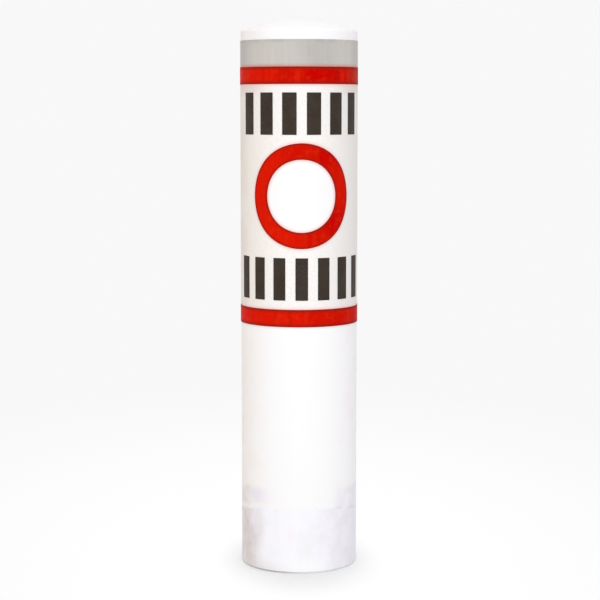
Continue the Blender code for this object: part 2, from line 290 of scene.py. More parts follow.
def flat_ring():
    """A fine flat ring, with its two rims marked."""
    bm = bmesh.new()
    rim = bm.verts.layers.float.new("rim")
    inside = RING_RADIUS - RING_STROKE
    rows = round((RING_STROKE - 2 * RING_RIM) / (2 * RING_RIM))
    step = (RING_STROKE - 2 * RING_RIM) / rows
    radii = [inside + RING_RIM + step * row for row in range(rows + 1)]
    radii = [inside, *radii, RING_RADIUS]
    grid = []
    for radius in radii:
        circle = []
        for k in range(RING_STEPS):
            angle = 2 * math.pi * k / RING_STEPS
            across, up = radius * math.cos(angle), radius * math.sin(angle)
            circle.append(bm.verts.new((across, 0, RING_CENTRE + up)))
        for vert in circle:
            vert[rim] = radius in (inside, RING_RADIUS)
        grid.append(circle)
    for low, high in zip(grid, grid[1:]):
        for k in range(RING_STEPS):
            after = (k + 1) % RING_STEPS
            bm.faces.new((low[k], low[after], high[after], high[k]))
    return bm


def flat_block(middle, width, bottom, top):
    """A flat block with slightly rounded corners, scored into narrow upright strips."""
    bm = bmesh.new()
    right, left = middle + width / 2, middle - width / 2
    corners = [(left, bottom), (right, bottom), (right, top), (left, top)]
    loop = [(*corner, BLOCK_CORNER) for corner in corners]
    outline = rounded([(*corners[-1], 0), *loop, (*corners[0], 0)])[1:-1]
    bm.faces.new([bm.verts.new(point) for point in outline])
    strips = round(width / (2 * math.pi * BODY_RADIUS / FACETS))
    for line in range(1, strips):
        everything = bm.verts[:] + bm.edges[:] + bm.faces[:]
        bmesh.ops.bisect_plane(bm, geom=everything, dist=SCORE_TOLERANCE, plane_no=(1, 0, 0),
                               plane_co=(left + width * line / strips, 0, 0))
    return bm


def wrap(bm, inside, thickness):
    """Thicken a flat film and lay it on the wall."""
    grown = bmesh.ops.extrude_face_region(bm, geom=bm.faces[:])
    outer = {item for item in grown["geom"] if isinstance(item, bmesh.types.BMVert)}
    for vert in bm.verts:
        angle = vert.co.x / inside
        outwards = Vector((math.sin(angle), -math.cos(angle), 0))
        place = outwards * BODY_RADIUS + Vector((0, 0, vert.co.z))
        radius = inside + thickness if vert in outer else inside - GAP + CONTACT
        vert.co = place + outwards * (radius - BODY_RADIUS - waviness(place))
    return bm


def add_band(node, inside, thickness, top_margin, material, slot):
    low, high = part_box(node)
    flat = flat_strip(2 * math.pi * inside - SEAM_WIDTH, low.z, high.z - top_margin)
    finish_piece(add_object(node + "_film", wrap(flat, inside, thickness)), material, slot, node)


def add_row(row, count, width, pitch, material):
    for index in range(count):
        node = f"{row}_{index + 1}"
        low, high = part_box(node)
        flat = flat_block((index - (count - 1) / 2) * pitch, width, low.z, high.z)
        piece = add_object(node + "_film", wrap(flat, FILM_INSIDE, FILM_THICKNESS))
        finish_piece(piece, material, "dark_vinyl", node)


# Pieces

def make_body(material):
    """One-piece moulded body: wall, domed top, flat base, mooring recess and port boss."""
    mouth, roof = recess(0, RECESS_MOUTH_RADIUS)
    inner_mouth, inner_roof = recess(WALL, INNER_CORNER_RADIUS)
    shank_hole = SHANK_RADIUS + GAP
    outer_dome = dome(0, SHOULDER_RADIUS)
    inner_dome = dome(WALL, INNER_CORNER_RADIUS)
    rows = round(outer_dome[-1].z / WALL_ROW)
    wall = []
    for row in range(1, rows):
        wall.append(Vector((BODY_RADIUS, 0, outer_dome[-1].z * (1 - row / rows))))
    corners = [
        (BODY_RADIUS, wall[-1].z, 0),
        (BODY_RADIUS, 0, BASE_EDGE_RADIUS),
        mouth,
        roof,
        (shank_hole, RECESS_ROOF, 0),
        (shank_hole, RECESS_ROOF + WALL, 0),
        inner_roof,
        inner_mouth,
        (BORE_RADIUS, WALL, INNER_CORNER_RADIUS),
        (BORE_RADIUS, inner_dome[-1].z, 0),
    ]
    outline = outer_dome + wall[:-1] + rounded(corners) + inner_dome[-2::-1]
    bm = turn(outline, FACETS)
    for vert in bm.verts:
        across = Vector((vert.co.x, vert.co.y, 0))
        if across.length > BODY_RADIUS - CONTACT:
            vert.co -= across.normalized() * waviness(vert.co)
    body = add_object("body", bm)

    boss = [(0, BOSS_TOP, 0), (BOSS_RADIUS, BOSS_TOP, 0), (BOSS_RADIUS, WALL / 2, 0),
            (0, WALL / 2, 0)]
    carve_port(body, boss, "UNION")
    bore = PLUG_RADIUS + GAP
    counterbore = PLUG_FLANGE_RADIUS + GAP
    port = [(0, BOSS_TOP + WALL, 0), (bore, BOSS_TOP + WALL, 0), (bore, PORT_STEP, 0),
            (counterbore, PORT_STEP, 0), (counterbore, -WALL, 0), (0, -WALL, 0)]
    carve_port(body, port, "DIFFERENCE")
    finish_piece(body, material, "shell", "shell")


def make_foam(material):
    side = BODY_RADIUS - INSET
    bottom = BALLAST_LEVEL + GAP
    outline = dome(INSET, INNER_CORNER_RADIUS) + rounded([(side, bottom, 0), (0, bottom, 0)])
    finish_piece(add_object("foam", turn(outline, FACETS)), material, "foam", "foam_core")


def make_ballast(material):
    """Ballast cast round the recess, the anchor plate, the nut and the port boss."""
    foot, roof = recess(INSET, INNER_CORNER_RADIUS)
    side = BODY_RADIUS - INSET
    plate = PLATE_RADIUS + GAP
    nut = NUT_CORNER_RADIUS + GAP
    shank = SHANK_RADIUS + GAP
    corners = [
        (0, BALLAST_LEVEL, 0),
        (side, BALLAST_LEVEL, 0),
        (side, INSET, INNER_CORNER_RADIUS),
        foot,
        roof,
        (plate, roof[1], 0),
        (plate, PLATE_TOP + GAP, 0),
        (nut, PLATE_TOP + GAP, 0),
        (nut, NUT_TOP + GAP, 0),
        (shank, NUT_TOP + GAP, 0),
        (shank, SHANK_TOP + GAP, 0),
        (0, SHANK_TOP + GAP, 0),
    ]
    ballast = add_object("ballast_fill", turn(rounded(corners), FACETS))
    hollow = [(0, BOSS_TOP + GAP, 0), (BOSS_RADIUS + GAP, BOSS_TOP + GAP, 0),
              (BOSS_RADIUS + GAP, 0, 0), (0, 0, 0)]
    carve_port(ballast, hollow, "DIFFERENCE")
    finish_piece(ballast, material, "ballast", "ballast")


def make_eye(material):
    """Forged eye, collar and shank, run together as in one forging."""
    collar_top = RECESS_ROOF - GAP
    stem = [(0, SHANK_TOP, 0), (SHANK_RADIUS, SHANK_TOP, SHANK_END_RADIUS),
            (SHANK_RADIUS, collar_top, 0), (EYE_COLLAR_RADIUS, collar_top, COLLAR_TOP_RADIUS),
            (EYE_COLLAR_RADIUS, COLLAR_BOTTOM, COLLAR_FOOT_RADIUS), (0, COLLAR_BOTTOM, 0)]
    eye = add_object("eye", turn(rounded(stem), SMALL_FACETS))
    bar = []
    for step in range(EYE_BAR_STEPS):
        angle = 2 * math.pi * step / EYE_BAR_STEPS
        across = EYE_HOLE_RADIUS + EYE_BAR_RADIUS + EYE_BAR_RADIUS * math.cos(angle)
        bar.append(Vector((across, 0, EYE_BAR_RADIUS * math.sin(angle))))
    ring = add_object("eye_ring", turn(bar, EYE_STEPS, closed=True))
    ring.rotation_euler = (math.pi / 2, 0, 0)
    ring.location = (0, 0, EYE_CENTRE)
    carve(eye, ring, "UNION")
    remesh = eye.modifiers.new("forging", "REMESH")
    remesh.mode = "VOXEL"
    remesh.voxel_size = EYE_VOXEL
    smooth = eye.modifiers.new("softened", "SMOOTH")
    smooth.factor = EYE_SMOOTHING
    smooth.iterations = EYE_SMOOTH_PASSES
    settle(eye)
    finish_piece(eye, material, "galvanised_steel", "mooring_eye")


def make_anchor(material):
    """Round plate and chamfered nut that hold the eye's shank above the recess."""
    hole = SHANK_RADIUS + GAP
    plate = [(hole, PLATE_TOP, 0), (PLATE_RADIUS, PLATE_TOP, PLATE_EDGE_RADIUS),
             (PLATE_RADIUS, PLATE_BOTTOM, PLATE_EDGE_RADIUS), (hole, PLATE_BOTTOM, 0)]
    plate = add_object("plate", turn(rounded(plate), FACETS, closed=True))
    finish_piece(plate, material, "plate_steel", "anchor_plate")

    corner = NUT_CORNER_RADIUS
    flat = NUT_ACROSS_FLATS / 2
    middle = Matrix.Translation((0, 0, (NUT_BOTTOM + NUT_TOP) / 2))
    nut = bmesh.new()
    bmesh.ops.create_cone(nut, cap_ends=True, segments=6, radius1=corner, radius2=corner,
                          depth=NUT_TOP - NUT_BOTTOM, matrix=middle)
    nut = add_object("nut", nut)
    turned = turn([Vector((hole, 0, NUT_TOP)), Vector((flat, 0, NUT_TOP)),
                   Vector((corner, 0, NUT_TOP - NUT_CHAMFER)),
                   Vector((corner, 0, NUT_BOTTOM + NUT_CHAMFER)),
                   Vector((flat, 0, NUT_BOTTOM)), Vector((hole, 0, NUT_BOTTOM))],
                  SMALL_FACETS, closed=True)
    carve(nut, add_object("nut_turned", turned), "INTERSECT")
    finish_piece(nut, material, "plate_steel", "anchor_nut")


def make_plug(plug_material, seal_material):
    """Plug with a square drive socket, sunk in the base, and the flat seal over its flange."""
    plug = turn(rounded([(0, BOSS_TOP, 0), (PLUG_RADIUS, BOSS_TOP, PLUG_CHAMFER),
                         (PLUG_RADIUS, FLANGE_TOP, 0), (PLUG_FLANGE_RADIUS, FLANGE_TOP, 0),
                         (PLUG_FLANGE_RADIUS, PLUG_BOTTOM, PLUG_CHAMFER), (0, PLUG_BOTTOM, 0)]),
                SMALL_FACETS)
    bmesh.ops.translate(plug, verts=plug.verts, vec=PORT_CENTRE)
    plug = add_object("plug", plug)
    socket = bmesh.new()
    bmesh.ops.create_cube(socket, size=1)
    bmesh.ops.scale(socket, vec=(PLUG_SOCKET_WIDTH, PLUG_SOCKET_WIDTH, 2 * PLUG_SOCKET_DEPTH),
                    verts=socket.verts)
    upright = [edge for edge in socket.edges
               if abs(edge.verts[0].co.z - edge.verts[1].co.z) > PLUG_SOCKET_DEPTH]
    bmesh.ops.bevel(socket, geom=upright, offset=PLUG_CHAMFER, segments=SOCKET_CORNER_STEPS,
                    affect="EDGES")
    socket = add_object("socket", socket)
    socket.location = PORT_CENTRE + Vector((0, 0, PLUG_BOTTOM))
    carve(plug, socket, "DIFFERENCE")
    finish_piece(plug, plug_material, "plug", "fill_plug")

    hole = PLUG_RADIUS + GAP
    edge = (SEAL_TOP - SEAL_BOTTOM) / 4
    seal = [(hole, SEAL_TOP, 0), (PLUG_FLANGE_RADIUS, SEAL_TOP, edge),
            (PLUG_FLANGE_RADIUS, SEAL_BOTTOM, edge), (hole, SEAL_BOTTOM, 0)]
    seal = turn(rounded(seal), SMALL_FACETS, closed=True)
    bmesh.ops.translate(seal, verts=seal.verts, vec=PORT_CENTRE)
    finish_piece(add_object("seal", seal), seal_material, "seal", "fill_plug_seal")


# Finishes

# Places of the marks, in metres. A pair goes from where a mark starts to where it is full.
FOOT_LEVEL = 0.1237
FOOT_RISE = 0.0192
FOOT_WANDER = 0.014
FOOT_EDGE = (-0.0030, 0.0040)
FOOT_LINE = (0.0050, 0.0004)
FOOT_LIT_SPAN = (0.060, 0.008)
FOOT_LOW_DARK_SPAN = (0.035, 0.004)
HAZE_TOP_AT_SIDES = 0.181
HAZE_TOP_IN_FRONT = 0.150
HAZE_EDGE = (-0.010, 0.010)
STRIP_EDGE = (-0.015, -0.006)
BASE_SHADE_HEIGHT = (0.0044, 0.0018)
BASE_SHADE_REACH = (0.115, 0.121)
WALL_REACH = (0.108, 0.124)
RUBBED_SPAN = (0.006, 0.0)
BAND_SIDE_SHADE_SPAN = (0.034, 0.006)
CLEAN_CIRCLE = (0.082, 0.070)
BLED_SPAN = (0.0120, -0.0020)
LEAN_HEIGHTS = (1.07, 0.60)
BANDED_SPAN = (RING_RADIUS, RING_RADIUS + 0.010)
# Cells per metre
BEAD_SCALE = 1400.0
PORE_SCALE = 450.0


class Nodes:
    """The shader nodes of a material or world, put together one by one."""

    def __init__(self, owner):
        owner.use_nodes = True
        self.tree = owner.node_tree

    def add(self, kind, inputs=(), **settings):
        node = self.tree.nodes.new(kind)
        for key, value in settings.items():
            setattr(node, key, value)
        for key, value in dict(inputs).items():
            if isinstance(value, bpy.types.NodeSocket):
                self.tree.links.new(value, node.inputs[key])
            else:
                node.inputs[key].default_value = value
        return node

    def math(self, operation, first, second=0.0, third=0.0):
        inputs = {0: first, 1: second, 2: third}
        return self.add("ShaderNodeMath", inputs, operation=operation).outputs[0]

    def product(self, first, *others):
        for other in others:
            first = self.math("MULTIPLY", first, other)
        return first

    def spread(self, value, low, high, to_low=0.0, to_high=1.0, shape="SMOOTHSTEP"):
        """Carry a value from one span to another."""
        inputs = {"Value": value, "From Min": low, "From Max": high, "To Min": to_low,
                  "To Max": to_high}
        node = self.add("ShaderNodeMapRange", inputs, interpolation_type=shape)
        return node.outputs["Result"]

    def mix(self, share, first, second):
        """Mix two colours."""
        inputs = {0: share}
        for key, value in ((6, first), (7, second)):
            inputs[key] = value if isinstance(value, bpy.types.NodeSocket) else (*value, 1.0)
        return self.add("ShaderNodeMix", inputs, data_type="RGBA").outputs[2]

    def blend(self, share, first, second):
        """Mix two shaders."""
        return self.add("ShaderNodeMixShader", {0: share, 1: first, 2: second}).outputs[0]

    def shown_white(self):
        """1 for the rays that should see a pale backdrop: from the camera, gloss and glass."""
        path = self.add("ShaderNodeLightPath").outputs
        shown = path["Is Camera Ray"]
        for name in ("Is Glossy Ray", "Is Transmission Ray"):
            shown = self.math("MAXIMUM", shown, path[name])
        return shown


class Finish(Nodes):
    """One procedural material."""

    def __init__(self, name, metallic=0.0, specular=0.5):
        self.material = bpy.data.materials.new(name)
        super().__init__(self.material)
        self.shader = self.tree.nodes["Principled BSDF"]
        self.shader.inputs["Metallic"].default_value = metallic
        self.shader.inputs["Specular IOR Level"].default_value = specular
        self.place = self.add("ShaderNodeTexCoord").outputs["Object"]

    def link(self, value, socket):
        self.tree.links.new(value, self.shader.inputs[socket])

    def cylinder(self):
        """Place on the body: to its right, towards its front, up, and out from its axis."""
        split = self.add("ShaderNodeSeparateXYZ", {0: self.place}).outputs
        side = self.math("DIVIDE", split["X"], BODY_RADIUS)
        facing = self.math("DIVIDE", split["Y"], -BODY_RADIUS)
        flat = self.add("ShaderNodeCombineXYZ", {0: split["X"], 1: split["Y"]}).outputs[0]
        reach = self.add("ShaderNodeVectorMath", {0: flat}, operation="LENGTH").outputs["Value"]
        return side, facing, split["Z"], reach

    def rim(self):
        """A film's own mark: 1 at its upper rim, -1 at its lower one, 1 at both of the ring's."""
        return self.add("ShaderNodeAttribute", attribute_name="rim").outputs["Fac"]

    def upright(self, up):
        """The place squeezed in height, for marks that are longer up the wall than across it."""
        inputs = {"Vector": self.place, "Scale": (1, 1, up)}
        return self.add("ShaderNodeMapping", inputs).outputs[0]

    def noise(self, scale, detail=2.0, rough=0.5, place=None):
        inputs = {"Vector": place or self.place, "Scale": scale, "Detail": detail,
                  "Roughness": rough}
        return self.add("ShaderNodeTexNoise", inputs).outputs["Fac"]

    def patches(self, scale, detail, low, high, least=0.0, most=1.0, rough=0.5, place=None):
        """Noise made into patches with soft edges, from the least share to the most."""
        return self.spread(self.noise(scale, detail, rough, place), low, high, least, most)

    def cells(self, scale, output="Distance"):
        inputs = {"Vector": self.place, "Scale": scale}
        return self.add("ShaderNodeTexVoronoi", inputs).outputs[output]

    def roughen(self, scale, detail, smoothest, roughest):
        """Vary the roughness over the surface."""
        self.link(self.patches(scale, detail, 0.3, 0.7, smoothest, roughest), "Roughness")

    def bump(self, *layers):
        """Stack (height, depth in metres) layers of relief."""
        normal = None
        for height, depth in layers:
            node = self.add("ShaderNodeBump", {"Height": height, "Distance": depth})
            if normal:
                self.tree.links.new(normal, node.inputs["Normal"])
            normal = node.outputs["Normal"]
        self.link(normal, "Normal")


def wall_tone(look, side, facing, height, reach):
    """Near white with faint clouds, darker with a warm tint at the left and a lavender one at the
    right as painted shade, and pink close to the lower red band.
    """
    color = look.mix(look.patches(5.0, 3.0, 0.35, 0.68), (0.965, 0.963, 0.962),
                     (0.958, 0.956, 0.966))
    patches = look.patches(16.0, 3.0, 0.35, 0.65, 0.45, 1.0)
    # Painted shade: the left side darkens to a warm tint and the right side to a lavender one.
    left = look.product(patches, look.spread(side, -0.45, -1.0))
    right = look.product(patches, look.spread(side, 0.45, 1.0))
    color = look.mix(left, color, (0.960, 0.895, 0.850))
    color = look.mix(right, color, (0.955, 0.918, 0.940))
    blush = look.product(look.patches(23.0, 2.0, 0.50, 0.70, 0.0, 0.60),
                         look.spread(facing, 0.92, 0.60), look.spread(reach, *WALL_REACH))
    color = look.mix(blush, color, (0.965, 0.880, 0.895))
    rubbed = look.math("ABSOLUTE", look.math("SUBTRACT", height, LOWER_RED_BOTTOM))
    return look.mix(look.spread(rubbed, *RUBBED_SPAN, 0.0, 0.50), color, (0.95, 0.60, 0.60))


def haze_tone(look, side):
    """Pinkish lilac, bluer on the right, with painted shade: greyer to both sides and brown at the
    far left.
    """
    near = look.mix(look.spread(side, -0.20, 0.20), (0.945, 0.868, 0.940), (0.905, 0.882, 0.935))
    away = look.math("ABSOLUTE", side)
    # Painted shade: greyer to both sides and brown at the far left.
    color = look.mix(look.spread(away, 0.55, 0.82), near, (0.865, 0.830, 0.885))
    return look.mix(look.spread(side, -0.80, -1.0), color, (0.760, 0.705, 0.690))


def haze_share(look, side, facing, height, depth, wander):
    """A thin haze above the foot, higher at the sides, and thinner close to the foot on the left."""
    skewed = look.math("MULTIPLY_ADD", side, 0.10, facing)
    top = look.spread(skewed, 0.86, 0.98, HAZE_TOP_AT_SIDES, HAZE_TOP_IN_FRONT)
    edge = look.math("ADD", top, wander)
    share = look.product(look.spread(look.math("SUBTRACT", edge, height), *HAZE_EDGE),
                         look.spread(facing, 0.975, 0.70),
                         look.patches(30.0, 3.0, 0.32, 0.64, 0.35, 1.0))
    strip = look.product(look.spread(depth, *STRIP_EDGE),
                         look.spread(side, -0.20, -0.50, 0.0, 0.65))
    return look.math("SUBTRACT", share, look.product(share, strip))


def foot_tone(look, side, facing, height):
    """Blotched bluish white; brown at the left and mauve at the right are painted shade, the paler
    part low down in front is painted light, and it is darker towards the bottom at the left.
    """
    blotches = look.patches(34.0, 5.0, 0.35, 0.65, rough=0.62)
    upright = look.upright(0.35)
    pale = look.mix(blotches, (0.934, 0.930, 0.980), (0.960, 0.956, 0.994))
    brown = look.mix(blotches, (0.700, 0.640, 0.622), (0.790, 0.735, 0.715))
    mauve = look.mix(blotches, (0.845, 0.810, 0.872), (0.900, 0.866, 0.927))
    sway = look.math("MULTIPLY_ADD", look.noise(30.0, 3.0, place=upright), 0.5, -0.25)
    swaying = look.math("ADD", side, sway)
    # Painted shade: brown towards the left side and mauve towards the right.
    color = look.mix(look.spread(swaying, -0.48, -1.00), pale, brown)
    color = look.mix(look.spread(swaying, 0.00, 0.85), color, mauve)
    pink = look.patches(41.0, 2.0, 0.52, 0.72, 0.0, 0.55, place=upright)
    color = look.mix(pink, color, (0.955, 0.880, 0.945))
    green = look.patches(27.0, 2.0, 0.55, 0.75, 0.0, 0.45, place=upright)
    color = look.mix(green, color, (0.880, 0.895, 0.865))
    # Painted light: paler low down at the front.
    painted_front_light = look.product(look.spread(height, *FOOT_LIT_SPAN, 0.0, 0.75),
                         look.spread(facing, 0.80, 0.97))
    color = look.mix(painted_front_light, color, (0.985, 0.978, 0.998))
    # Darker towards the bottom at the left.
    low_left_darkening = look.product(look.spread(height, *FOOT_LOW_DARK_SPAN), look.spread(side, 0.00, -0.60), 0.35)
    return look.mix(low_left_darkening, color, (0.740, 0.690, 0.665))


def polyethylene():
    """Moulded white body; its foot shows darker, where the ballast lies behind the wall."""
    look = Finish("white_polyethylene", specular=0.3)
    side, facing, height, reach = look.cylinder()
    wander = look.math("MULTIPLY_ADD", look.noise(22.0, 4.0, 0.6), FOOT_WANDER, -FOOT_WANDER / 2)
    level = look.math("ADD", look.math("MULTIPLY_ADD", facing, FOOT_RISE, FOOT_LEVEL), wander)
    depth = look.math("SUBTRACT", level, height)

    color = look.mix(haze_share(look, side, facing, height, depth, wander),
                     wall_tone(look, side, facing, height, reach), haze_tone(look, side))
    color = look.mix(look.spread(depth, *FOOT_EDGE), color, foot_tone(look, side, facing, height))
    line = look.product(look.spread(look.math("ABSOLUTE", depth), *FOOT_LINE),
                        look.patches(30.0, 2.0, 0.42, 0.62, 0.0, 0.40),
                        look.spread(side, 0.10, 0.45), look.spread(facing, 0.00, 0.45))
    color = look.mix(line, color, (0.70, 0.68, 0.73))
    # Painted contact shade along the lower edge of the base, strongest at the left.
    painted_base_edge_shade = look.product(look.spread(height, *BASE_SHADE_HEIGHT), look.spread(reach, *BASE_SHADE_REACH),
                         look.spread(side, 0.15, -0.65, 0.12, 1.00))
    color = look.mix(painted_base_edge_shade, color, (0.38, 0.33, 0.28))
    look.link(color, "Base Color")

    look.roughen(60.0, 3.0, 0.40, 0.52)
    look.shader.inputs["Subsurface Weight"].default_value = 0.10
    look.shader.inputs["Subsurface Radius"].default_value = (1.0, 0.92, 0.85)
    look.shader.inputs["Subsurface Scale"].default_value = 0.003
    look.bump((look.noise(160.0, 2.0), 0.00010), (look.noise(900.0, 2.0), 0.00002))
    return look.material


def marker_sheet():
    """White film with a fine grain, darker and warmer to the sides as painted shade, and cleaner
    inside the ring.

    The red has bled a little into it.
    """
    look = Finish("white_vinyl", specular=0.15)
    side, facing, height, _ = look.cylinder()
    across = look.product(look.math("ARCTAN2", side, facing), FILM_INSIDE)
    up = look.math("SUBTRACT", height, RING_CENTRE)
    away = look.add("ShaderNodeCombineXYZ", {0: across, 1: up}).outputs[0]
    away = look.add("ShaderNodeVectorMath", {0: away}, operation="LENGTH").outputs["Value"]
    below_band = look.math("SUBTRACT", UPPER_RED_BOTTOM, height)
    above_band = look.math("SUBTRACT", height, LOWER_RED_TOP)

    color = look.mix(look.patches(9.0, 3.0, 0.35, 0.65), (0.965, 0.930, 0.900),
                     (0.950, 0.930, 0.918))
    # Painted shade: darker and warmer to the left, darker to the right, browner at the far left, and
    # darker at the sides just below the upper red band.
    color = look.mix(look.spread(side, -0.25, -0.95), color, (0.900, 0.845, 0.780))
    color = look.mix(look.spread(side, 0.10, 0.95), color, (0.835, 0.808, 0.790))
    edge = look.product(look.spread(side, -0.85, -0.95),
                        look.patches(16.0, 2.0, 0.35, 0.60, 0.25, 0.80))
    color = look.mix(edge, color, (0.830, 0.745, 0.670))
    darkening = look.product(look.spread(below_band, *BAND_SIDE_SHADE_SPAN, 0.0, 0.75),
                        look.spread(look.math("ABSOLUTE", side), 0.55, 0.85))
    color = look.mix(darkening, color, (0.770, 0.660, 0.600))
    grain = look.patches(260.0, 4.0, 0.42, 0.66, 0.0, 0.50, rough=0.7)
    color = look.mix(grain, color, (0.810, 0.775, 0.745))
    color = look.mix(look.spread(away, *CLEAN_CIRCLE), color, (0.955, 0.950, 0.950))

    beside_ring = look.math("ABSOLUTE", look.math("SUBTRACT", away, RING_RADIUS - RING_STROKE / 2))
    beside_ring = look.math("SUBTRACT", beside_ring, RING_STROKE / 2)
    beside = look.math("MINIMUM", beside_ring, look.math("MINIMUM", below_band, above_band))
    bled = look.spread(beside, *BLED_SPAN)
    color = look.mix(look.product(bled, bled, 0.85), color, (0.97, 0.52, 0.50))
    look.link(color, "Base Color")
    look.roughen(300.0, 2.0, 0.42, 0.55)
    look.bump((look.noise(700.0, 2.0), 0.00003))
    return look.material


def red_film():
    """Red ink on film, lighter to the left and lower down as painted light, darker at the upper
    right as painted shade, with darker rims.

    Upright streaks run through the bands and, fainter, through the ring; the lighter ones are
    painted sheen, as from fine creases.
    """
    look = Finish("red_vinyl", specular=0.03)
    side, _, height, _ = look.cylinder()
    upright = look.upright(0.06)
    color = look.mix(look.patches(14.0, 3.0, 0.35, 0.65), (0.565, 0.0010, 0.0003),
                     (0.625, 0.0060, 0.0006))
    # Painted light: the red is lighter to the left and lower down.
    lean = look.math("SUBTRACT", side, look.spread(height, *LEAN_HEIGHTS, 0.0, 0.50))
    color = look.mix(look.spread(lean, -0.10, -0.65), color, (0.705, 0.0085, 0.0010))
    # Painted shade: the red is darker at the upper right.
    upper_right_shade = look.product(look.spread(side, 0.70, 0.95),
                        look.spread(height, RING_CENTRE, UPPER_RED_BOTTOM, 0.10, 0.80))
    color = look.mix(upper_right_shade, color, (0.400, 0.0220, 0.0100))
    away = look.math("ABSOLUTE", look.math("SUBTRACT", height, RING_CENTRE))
    banded = look.spread(away, *BANDED_SPAN, 0.40, 1.0)
    # Painted sheen: lighter upright streaks, as from fine creases.
    crease_sheen = look.product(look.patches(75.0, 3.0, 0.50, 0.72, 0.0, 0.60, place=upright), banded)
    color = look.mix(crease_sheen, color, (0.695, 0.0200, 0.0040))
    darkening = look.product(look.patches(40.0, 3.0, 0.54, 0.72, 0.0, 0.50, place=upright), banded)
    color = look.mix(darkening, color, (0.440, 0.0030, 0.0012))
    color = look.mix(look.patches(85.0, 3.0, 0.48, 0.70, 0.0, 0.35), color, (0.700, 0.0300, 0.0080))
    color = look.mix(look.math("ABSOLUTE", look.rim()), color, (0.255, 0.0130, 0.0070))
    look.link(color, "Base Color")
    look.shader.inputs["Specular Tint"].default_value = (1.0, 0.25, 0.12, 1.0)
    look.roughen(200.0, 2.0, 0.40, 0.55)
    look.bump((look.noise(500.0, 2.0), 0.00002))
    return look.material


def dark_film():
    """Brownish black ink on film, with a fine grain."""
    look = Finish("dark_vinyl", specular=0.12)
    color = look.mix(look.patches(30.0, 3.0, 0.35, 0.65), (0.036, 0.024, 0.017),
                     (0.043, 0.032, 0.024))
    grain = look.patches(420.0, 3.0, 0.48, 0.70, 0.0, 0.5, rough=0.7)
    look.link(look.mix(grain, color, (0.070, 0.055, 0.043)), "Base Color")
    look.roughen(300.0, 2.0, 0.42, 0.58)
    look.bump((look.noise(700.0, 2.0), 0.00003))
    return look.material


def reflective():
    """Silver-grey reflective film: a fine field of glass beads under a clear skin.

    Grime lies along its upper rim, and the red below has bled into its lower one. Both far sides are
    darkened as painted shade.
    """
    look = Finish("silver_reflective_film", specular=0.2)
    side = look.cylinder()[0]
    broad = look.patches(16.0, 4.0, 0.32, 0.68, rough=0.6)
    cool = look.mix(broad, (0.500, 0.483, 0.460), (0.535, 0.518, 0.495))
    warm = look.mix(broad, (0.610, 0.588, 0.540), (0.645, 0.622, 0.572))
    color = look.mix(look.spread(side, 0.20, -0.55), cool, warm)
    color = look.mix(look.spread(side, 0.35, 0.75), color, warm)
    # Painted shade: darker towards both far sides.
    ends = look.spread(look.math("ABSOLUTE", side), 0.78, 1.0, 0.0, 0.65)
    color = look.mix(ends, color, (0.42, 0.385, 0.355))
    beads = look.spread(look.cells(BEAD_SCALE), 0.15, 0.65, 0.0, 0.30)
    color = look.mix(beads, color, (0.440, 0.420, 0.395))
    grain = look.patches(260.0, 3.0, 0.45, 0.68, 0.0, 0.25, rough=0.7)
    color = look.mix(grain, color, (0.580, 0.560, 0.530))
    streaks = look.patches(130.0, 3.0, 0.45, 0.72, 0.0, 0.16, rough=0.6, place=look.upright(0.04))
    color = look.mix(streaks, color, (0.380, 0.365, 0.345))
    rim = look.rim()
    grime = look.product(look.math("MAXIMUM", rim, 0.0),
                         look.patches(28.0, 3.0, 0.40, 0.60, 0.05, 0.50))
    color = look.mix(grime, color, (0.34, 0.32, 0.30))
    bled = look.math("MAXIMUM", look.product(rim, -1.0), 0.0)
    color = look.mix(look.product(bled, bled, 0.90), color, (0.70, 0.22, 0.17))
    look.link(color, "Base Color")
    look.roughen(300.0, 2.0, 0.32, 0.45)
    look.bump((look.cells(BEAD_SCALE), 0.00002), (look.noise(60.0, 2.0), 0.00004))
    return look.material


def zinc(name, scale):
    """Hot zinc on steel: crystals of differing tone with dull patches, and a little relief."""
    look = Finish(name, metallic=1.0)
    spangle = look.add("ShaderNodeSeparateXYZ", {0: look.cells(scale, "Color")}).outputs["X"]
    color = look.mix(spangle, (0.50, 0.515, 0.535), (0.66, 0.675, 0.69))
    darkening = look.patches(scale / 4, 4.0, 0.45, 0.70, 0.0, 0.6)
    look.link(look.mix(darkening, color, (0.44, 0.45, 0.455)), "Base Color")
    look.link(look.spread(spangle, 0.0, 1.0, 0.32, 0.52), "Roughness")
    look.bump((look.noise(scale * 1.5, 3.0), 0.00012), (look.noise(scale * 6, 2.0), 0.00003))
    return look.material


def black_plastic():
    look = Finish("plug_plastic")
    cloud = look.patches(90.0, 3.0, 0.35, 0.65)
    look.link(look.mix(cloud, (0.020, 0.020, 0.022), (0.034, 0.034, 0.037)), "Base Color")
    look.roughen(250.0, 3.0, 0.36, 0.55)
    look.bump((look.noise(1500.0, 2.0), 0.00004))
    return look.material


def rubber():
    look = Finish("seal_rubber", specular=0.3)
    cloud = look.patches(200.0, 3.0, 0.35, 0.65)
    look.link(look.mix(cloud, (0.014, 0.014, 0.014), (0.028, 0.027, 0.026)), "Base Color")
    look.roughen(400.0, 2.0, 0.62, 0.78)
    look.bump((look.noise(2000.0, 2.0), 0.00003))
    return look.material


def closed_cell_foam():
    """Yellowish foam with small darker pores."""
    look = Finish("closed_cell_foam", specular=0.2)
    color = look.mix(look.patches(20.0, 4.0, 0.35, 0.65), (0.72, 0.63, 0.42), (0.80, 0.74, 0.56))
    pores = look.spread(look.cells(PORE_SCALE), 0.10, 0.45, 0.45, 0.0)
    look.link(look.mix(pores, color, (0.50, 0.42, 0.27)), "Base Color")
    look.roughen(150.0, 2.0, 0.8, 0.95)
    look.bump((look.cells(PORE_SCALE), 0.0006), (look.noise(90.0, 3.0), 0.0005))
    return look.material


